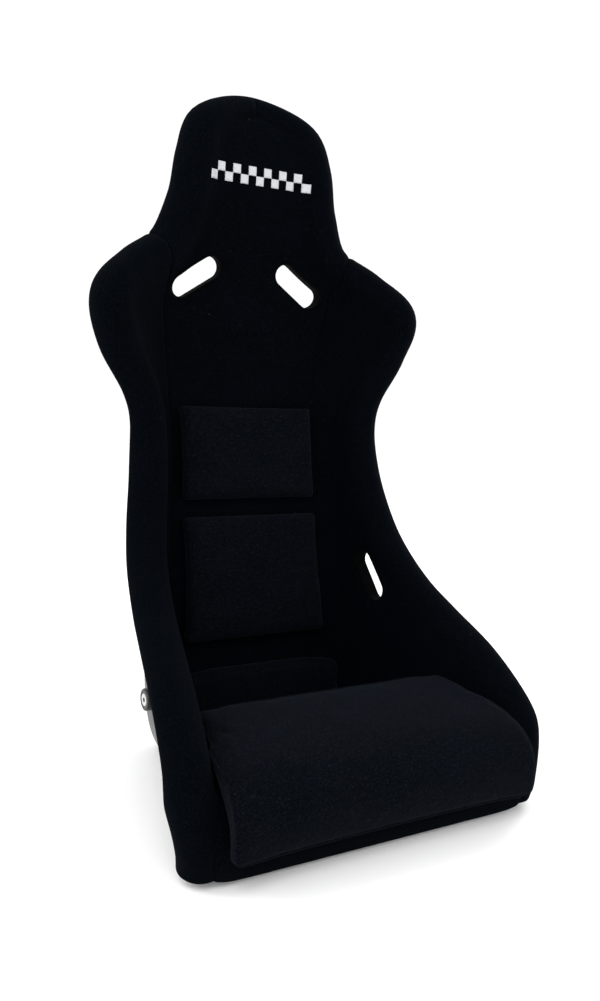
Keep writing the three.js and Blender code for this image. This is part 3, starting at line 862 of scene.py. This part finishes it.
def keep_largest_body(piece):
    """Deletes every loose body of a mesh but the one with the most points."""
    bm = bmesh.new()
    bm.from_mesh(piece.data)
    unseen = set(bm.verts)
    bodies = []
    while unseen:
        body = []
        queue = [unseen.pop()]
        while queue:
            vertex = queue.pop()
            body.append(vertex)
            for edge in vertex.link_edges:
                other = edge.other_vert(vertex)
                if other in unseen:
                    unseen.remove(other)
                    queue.append(other)
        bodies.append(body)
    bodies.sort(key=len)
    for body in bodies[:-1]:
        bmesh.ops.delete(bm, geom=body, context="VERTS")
    bm.to_mesh(piece.data)
    bm.free()


VOXEL = 5 * MM
CLOTH_STEPS = 20


def swell(piece, rise):
    """Stuffs a closed piece: remesh, cloth under inner pressure, and no point moves more than `rise`."""
    modifier = piece.modifiers.new("remesh", "REMESH")
    modifier.mode = "VOXEL"
    modifier.voxel_size = VOXEL
    apply_modifier(piece, modifier)
    keep_largest_body(piece)
    mesh = piece.data
    rest = np.array([v.co for v in mesh.vertices])
    cloth = piece.modifiers.new("cloth", "CLOTH")
    settings = cloth.settings
    settings.quality = 4
    settings.mass = 0.3
    settings.use_pressure = True
    settings.uniform_pressure_force = 4
    settings.effector_weights.gravity = 0
    cloth.point_cache.frame_start = 1
    cloth.point_cache.frame_end = CLOTH_STEPS
    for step in range(1, CLOTH_STEPS + 1):
        bpy.context.scene.frame_set(step)
    evaluated = piece.evaluated_get(bpy.context.evaluated_depsgraph_get())
    moved = np.array([v.co for v in evaluated.data.vertices])
    piece.modifiers.remove(cloth)
    bpy.context.scene.frame_set(1)
    shift = moved - rest
    size = np.linalg.norm(shift, axis=1, keepdims=True)
    limited = rest + shift * np.minimum(1, rise / np.maximum(size, 1e-9))
    mesh.vertices.foreach_set("co", limited.ravel())
    smoother = piece.modifiers.new("smooth", "SMOOTH")
    smoother.factor = 0.5
    smoother.iterations = 4
    apply_modifier(piece, smoother)
    finer = piece.modifiers.new("finer", "SUBSURF")
    finer.levels = 1
    apply_modifier(piece, finer)
    for polygon in piece.data.polygons:
        polygon.use_smooth = True
    if not piece.data.materials:
        piece.data.materials.append(CUSHION_VELOUR)


PAD_LOW = 17.9 * MM  # every cushion's underside
PAD_FACE = 36 * MM
PAD_HALF_WIDTH = 0.372  # as a share of the half section
PAD_CHAMFER = 4 * MM
CHAMFER_LINES = 1.2  # its width, in grid lines
PAD_LINES = 50
PAD_SWELL = 5 * MM
PADS = {"back_pad_lower": (8.49, 10.30), "back_pad_upper": (10.44, 11.86)}  # from station to station


def pad_block(name, u_from, u_to):
    """A closed block on the back, with chamfered front edges."""
    rows = np.linspace(u_from, u_to, PAD_LINES)
    columns = np.linspace(-PAD_HALF_WIDTH, PAD_HALF_WIDTH, PAD_LINES)
    u, v = np.meshgrid(rows, columns, indexing="ij")
    from_edge = np.minimum(np.arange(PAD_LINES), np.arange(PAD_LINES)[::-1])
    border = np.minimum(from_edge[:, None], from_edge[None, :])
    chamfer = PAD_CHAMFER * (1 - rounded(border / CHAMFER_LINES))
    return closed_sheet(name, layer(u, v, PAD_FACE - chamfer), layer(u, v, PAD_LOW), CUSHION_VELOUR)


for name, (u_from, u_to) in PADS.items():
    pad = pad_block(f"{name}_velour", u_from, u_to)
    swell(pad, PAD_SWELL)
    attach(pad, name)
    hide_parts(name)


def tube(name, path, radius, material, sides=10):
    """A closed cord of round section along a closed path."""
    ahead = unit(np.roll(path, -1, axis=0) - np.roll(path, 1, axis=0))
    first = unit(np.cross(ahead, (0.31, 0.17, 0.93)))
    second = np.cross(ahead, first)
    angle = np.linspace(0, 2 * math.pi, sides, endpoint=False)[None, :, None]
    rings = path[:, None] + radius * (np.cos(angle) * first[:, None] + np.sin(angle) * second[:, None])
    return swept(name, rings, material, ends=False)


# The thigh support's middle section, from the welt over the nose to its lower edge: y and z
THIGH_TOP = MM * np.array([
    (-104, 153), (-165, 154), (-222, 148), (-262, 136), (-288, 115), (-300, 92), (-301, 68), (-298, 44)])
THIGH_UNDERSIDE = MM * np.array([(-284, 40), (-262, 44), (-237, 78), (-167, 84), (-104, 66)])
THIGH_EDGE_DROP = 7 * MM  # at the rear; it fades over the nose, and the lower edge stands out instead
THIGH_EDGE_ROUND = 8 * MM
THIGH_EDGE_SHARE = 0.05  # the rounding's share of the half width
THIGH_EDGE_FADE = 1.5  # the drop's fading, from the welt to the lower edge
THIGH_NOSE_HALF, THIGH_NARROWING = 228, 61  # the half width at the nose, and how much of it goes, in mm
THIGH_STRAIGHT_Y, THIGH_TAPER = -175 * MM, 270 * MM  # the narrowing's start and length
THIGH_SWELL = 4 * MM
SWELL_ROOM = 2.5 * MM  # left under the thigh support for its swelling
BELOW_DEPTH = -18 * MM  # of the body that cuts its underside


def thigh_half_width(y):
    """The half width narrows towards the rear, as the walls close in."""
    back = np.clip((y - THIGH_STRAIGHT_Y) / THIGH_TAPER, 0, 1)
    return (THIGH_NOSE_HALF - THIGH_NARROWING * back) * MM


def thigh_sections(across, count=60):
    """The top of the thigh support at shares across its half width: (across, along the section)."""
    line = smooth_path(THIGH_TOP, count)
    ahead = unit(np.gradient(line, axis=0))
    outward = np.stack([ahead[:, 1], -ahead[:, 0]], axis=1)
    share = np.abs(across)[:, None, None]
    fade = 1 - THIGH_EDGE_FADE * np.linspace(0, 1, count)[None, :, None]
    corner = 1 - rounded((1 - share) / THIGH_EDGE_SHARE)
    drop = THIGH_EDGE_DROP * fade * share**3 + THIGH_EDGE_ROUND * corner
    yz = line[None] - outward[None] * drop
    x = across[:, None] * thigh_half_width(yz[..., 0])
    return np.concatenate([x[..., None], yz], axis=2)


def front_cushion():
    """The thigh support: crowned on top, round over the nose, and cut to the lip and pan below it."""
    half = np.concatenate([np.linspace(0, 0.94, 26), [0.965, 0.98, 0.99, 0.997, 1]])
    across = np.concatenate([-half[::-1], half[1:]])
    top = thigh_sections(across)
    under = np.repeat(THIGH_UNDERSIDE[None], len(across), axis=0)
    x = across[:, None] * thigh_half_width(under[..., 0])
    rings = np.concatenate([top, np.concatenate([x[..., None], under], axis=2)], axis=1)
    piece = swept("seat_cushion_thigh_support", rings, CUSHION_VELOUR)
    u, v = np.meshgrid(np.linspace(0, 9, 80), np.linspace(-1, 1, 70), indexing="ij")
    below = closed_sheet("below", layer(u, v, PAD_LOW + SWELL_ROOM), layer(u, v, BELOW_DEPTH), None)
    cut(piece, [below])
    discard(below)
    swell(piece, THIGH_SWELL)
    return piece


def ring_path(points, spacing):
    """A closed path through points, evenly spaced and softened."""
    closed = np.vstack([points, points[:1]])
    length = np.concatenate([[0], np.cumsum(np.linalg.norm(np.diff(closed, axis=0), axis=1))])
    places = np.arange(0, length[-1], spacing)
    path = np.stack([np.interp(places, length, closed[:, k]) for k in range(3)], axis=1)
    return softened(path, 5)


PIPING_SHARE = 0.992  # of the thigh support's half width
PIPING_RADIUS = 2.1 * MM
PIPING_RISE = 0.4 * MM


def piping():
    """The corded seam round the thigh support: along the welt, down both sides, across the nose."""
    edge = thigh_sections(np.array([-PIPING_SHARE, PIPING_SHARE]))
    across = np.linspace(-PIPING_SHARE, PIPING_SHARE, 60)
    lines = thigh_sections(across)
    loop = np.vstack([lines[:, 0], edge[1][1:-1], lines[::-1, -1], edge[0][-2:0:-1]])
    path = ring_path(loop, 4 * MM)
    tree = surface_tree(thigh)
    for k, point in enumerate(path):
        hit = tree.find_nearest(Vector(point))
        path[k] = np.array(hit[0]) + PIPING_RISE * np.array(hit[1])
    return tube("seat_cushion_piping", softened(path, 4), PIPING_RADIUS, CUSHION_VELOUR)


thigh = front_cushion()
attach(thigh, "seat_cushion")
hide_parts("seat_cushion")
cord = piping()
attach(cord, "seat_cushion")


SITTING_FACE = 34 * MM
SITTING_STATIONS = (3.74, 6.9, 8.16)  # its front edge, the start of its rounded rear, and its end
SITTING_HALF, SITTING_TAPER = 0.68, 0.06  # half width as a share of the half section, and its loss
SITTING_CORNER = 3.4  # exponent of the superellipse that rounds its rear corners


def rear_cushion():
    """The thin sitting part, which curves up the back with rounded corners."""
    start, bend, end = SITTING_STATIONS
    upper = bend + (end - bend) * rounded(np.linspace(0, 1, 40))[1:]
    u = np.concatenate([np.linspace(start, bend, 50), upper])
    t = np.clip((u - bend) / (end - bend), 0, 1)
    half = SITTING_HALF - SITTING_TAPER * (u - start) / (end - start)
    half = half * (1 - t**SITTING_CORNER) ** (1 / SITTING_CORNER)
    v = np.linspace(-1, 1, 60)[None] * half[:, None]
    grid = np.repeat(u[:, None], 60, axis=1)
    return closed_sheet(
        "seat_cushion_sitting_part", layer(grid, v, SITTING_FACE), layer(grid, v, PAD_LOW), CUSHION_VELOUR)


sitting = rear_cushion()
swell(sitting, PAD_SWELL)
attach(sitting, "seat_cushion")


STRIP_LOW, STRIP_EDGE, STRIP_FACE = 15.4, 16.6, 17.2  # distances from the inner surface, in mm
STRIP_INSET = 0.12  # from the pads' ends, in stations
PAD_STRIP = (0.12, 0.28)  # from and to, as shares of the half section
CUSHION_STRIP = (0.14, 0.3)
CUSHION_STRIP_STATIONS = (3.1, 5.4)


def strip(node, u_from, u_to, v_from, v_to):
    """A strip of hook tape under a cushion, with bevelled long edges."""
    u, v = np.meshgrid(np.linspace(u_from, u_to, 40), np.linspace(v_from, v_to, 8), indexing="ij")
    border = np.minimum(np.arange(8), np.arange(8)[::-1])[None] > 0
    top = layer(u, v, np.where(border, STRIP_FACE, STRIP_EDGE) * MM + 0 * u)
    piece = closed_sheet(f"{node}_tape", top, layer(u, v, STRIP_LOW * MM), HOOK_TAPE)
    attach(piece, node.rsplit("_hook_strip_", 1)[0])
    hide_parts(node)


def strip_pair(name, u_from, u_to, v_from, v_to):
    strip(f"{name}_hook_strip_left", u_from, u_to, v_from, v_to)
    strip(f"{name}_hook_strip_right", u_from, u_to, -v_to, -v_from)


for name, (u_from, u_to) in PADS.items():
    strip_pair(name, u_from + STRIP_INSET, u_to - STRIP_INSET, *PAD_STRIP)
strip_pair("seat_cushion", *CUSHION_STRIP_STATIONS, *CUSHION_STRIP)

# ---- Slot liners ----


def depths(slot, tree, grow, from_front, reach=0.12):
    """How deep a surface lies along the slot's axis, at points round its outline grown by `grow`."""
    outline = slot.outline(grow)
    found = []
    for point in outline:
        start = slot.place(point[None], reach if from_front else -reach)[0]
        direction = -slot.towards if from_front else slot.towards
        hit = tree.ray_cast(Vector(start), Vector(direction))[0]
        found.append(float((np.array(hit) - slot.centre) @ slot.towards) if hit else np.nan)
    found = np.array(found)
    good = ~np.isnan(found)
    index = np.arange(len(found))
    found = np.interp(index, index[good], found[good], period=len(found))
    return softened(found, 6)


HEAD_TREE = surface_tree(head)
BOLSTER_TREES = {side: surface_tree(bolster) for side, bolster in bolsters.items()}
BACK_TREE = surface_tree(shell)
LINER_GROW = 5.5 * MM  # the surfaces' depths are read this far outside the hole


def liner(slot):
    """A slot's moulding: a wall through the seat, with a rounded flange on either surface."""
    side = slot.name.rsplit("_", 1)[1]
    tree = HEAD_TREE if slot.name.startswith("shoulder") else BOLSTER_TREES[side]
    front = depths(slot, tree, LINER_GROW, True)
    back = depths(slot, BACK_TREE, LINER_GROW, False)
    profile = [  # offset from the hole's wall, height over the front or back surface, which surface
        (3.1, -1.2, "f"), (3.0, -0.3, "f"), (2.4, 0.2, "f"), (1.4, 0.3, "f"), (0.5, -0.3, "f"),
        (0, -1.6, "f"), (0, -5, "f"), (0, 1.5, "b"), (0.3, -0.6, "b"), (1.2, -1.5, "b"),
        (3.2, -1.5, "b"), (3.9, -0.9, "b"), (4.0, 0.3, "b"), (2.3, 0.4, "b"), (2.3, -2.2, "f"),
    ]
    rings = []
    for offset, height, which in profile:
        base = front if which == "f" else back
        rings.append(slot.place(slot.outline(offset * MM), base + height * MM))
    rings = np.stack(rings, axis=1)
    piece = swept(f"{slot.name}_moulding", rings, LINER_PLASTIC, ends=False)
    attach(piece, "seat")
    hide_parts(slot.name)


for slot in SLOTS:
    liner(slot)
discard(*CUT_TOOLS)

# ---- Emblem and inserts ----


MOTIF_COLUMNS, MOTIF_ROWS = 13, 2
SATIN_RISE = 1.3 * MM
SATIN_EDGE = 0.2 * MM  # a square's edge stands this far out of the cover
SATIN_DOME = 2.2 * MM  # width of the rounded border
SATIN_ROOT = -0.3 * MM


def emblem():
    """The stitched motif on the head panel: a chequered band of domed satin squares."""
    low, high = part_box("head_emblem")
    width, height = (high.x - low.x) / MOTIF_COLUMNS, (high.z - low.z) / MOTIF_ROWS
    cells = 10
    lines = np.linspace(0, 1, cells + 1)
    count = (cells + 1) ** 2
    ring = border_ring(np.arange(count).reshape(cells + 1, cells + 1))
    points, faces = [], []
    for column in range(MOTIF_COLUMNS):
        left, bottom = low.x + column * width, low.z + column % MOTIF_ROWS * height
        for domed in (True, False):
            start = len(points)
            for a in lines:
                for b in lines:
                    start_at = Vector((left + b * width, -1, bottom + a * height))
                    hit = HEAD_TREE.ray_cast(start_at, Vector((0, 1, 0)))
                    edge = min(a, 1 - a) * height, min(b, 1 - b) * width
                    rise = SATIN_RISE * float(rounded(min(edge) / SATIN_DOME)) + SATIN_EDGE
                    points.append(np.array(hit[0]) + np.array(hit[1]) * (rise if domed else SATIN_ROOT))
            faces.extend(grid_faces(cells + 1, cells + 1, start=start, flip=not domed).tolist())
        base = ring + len(points) - 2 * count
        after = np.roll(base, -1)
        faces.extend(np.stack([base, base + count, after + count, after], axis=1).tolist())
    piece = new_piece("head_emblem_stitching", points, faces, THREAD)
    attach(piece, "seat")
    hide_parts("head_emblem")


emblem()

for name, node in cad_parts.items():
    if "_mount_insert_" in name:
        node.data.materials.clear()
        node.data.materials.append(STEEL)

# ---- Floor, lights and camera ----


def area_light(name, place, size, power):
    light = bpy.data.lights.new(name, "AREA")
    light.shape = "RECTANGLE"
    light.size, light.size_y = size
    light.energy = power
    lamp = bpy.data.objects.new(name, light)
    lamp.location = place
    lamp.rotation_euler = (Vector((0, 0, 0.45)) - Vector(place)).to_track_quat("-Z", "Y").to_euler()
    bpy.context.scene.collection.objects.link(lamp)


FLOOR_HALF = 9  # metres


def stage():
    """A plain pale floor, four soft lights and a white world."""
    n = Nodes("floor")
    n.set(Base_Color=(0.95, 0.95, 0.95), Roughness=0.85)
    corners = [(x * FLOOR_HALF, y * FLOOR_HALF, 0) for x, y in ((-1, -1), (1, -1), (1, 1), (-1, 1))]
    floor = new_piece("floor", corners, [(0, 1, 2, 3)], n.material, False)
    floor.location.z = -0.5 * MM
    area_light("key", (-1.5, -1.7, 2.6), (1.6, 1.6), 40)
    area_light("front_fill", (1.6, -2.2, 1.4), (1.8, 1.8), 16)
    area_light("left_rim", (-2.4, 0.7, 1.6), (0.8, 2.2), 32)
    area_light("right_rim", (2.4, 0.9, 1.6), (0.8, 2.2), 32)
    world = bpy.data.worlds.new("studio")
    world.use_nodes = True
    background = world.node_tree.nodes["Background"]
    background.inputs["Color"].default_value = (1, 1, 1, 1)
    background.inputs["Strength"].default_value = 1.05
    bpy.context.scene.world = world
    bpy.context.scene.view_settings.view_transform = "Standard"


AZIMUTH, ELEVATION, ROLL = (math.radians(a) for a in (-33.17, 12.73, 5.6))
CAMERA_AT = Vector((-0.69892, -1.16984, 0.6791))
FOCAL_LENGTH = 35.16  # millimetres, on a 36 mm sensor along the picture's height
SHIFT = (-0.0405, 0.0211)


def camera():
    """The camera, turned by its azimuth and elevation and rolled about its own axis."""
    level = math.cos(ELEVATION)
    back = Vector((math.sin(AZIMUTH) * level, -math.cos(AZIMUTH) * level, math.sin(ELEVATION)))
    right = Vector((math.cos(AZIMUTH), math.sin(AZIMUTH), 0))
    up = back.cross(right)
    x = right * math.cos(ROLL) + up * math.sin(ROLL)
    y = up * math.cos(ROLL) - right * math.sin(ROLL)
    lens = bpy.data.cameras.new("camera")
    lens.lens = FOCAL_LENGTH
    lens.shift_x, lens.shift_y = SHIFT
    eye = bpy.data.objects.new("camera", lens)
    turn = Matrix((x, y, back)).transposed()
    eye.matrix_world = Matrix.Translation(CAMERA_AT) @ turn.to_4x4()
    bpy.context.scene.collection.objects.link(eye)
    bpy.context.scene.camera = eye


stage()
camera()
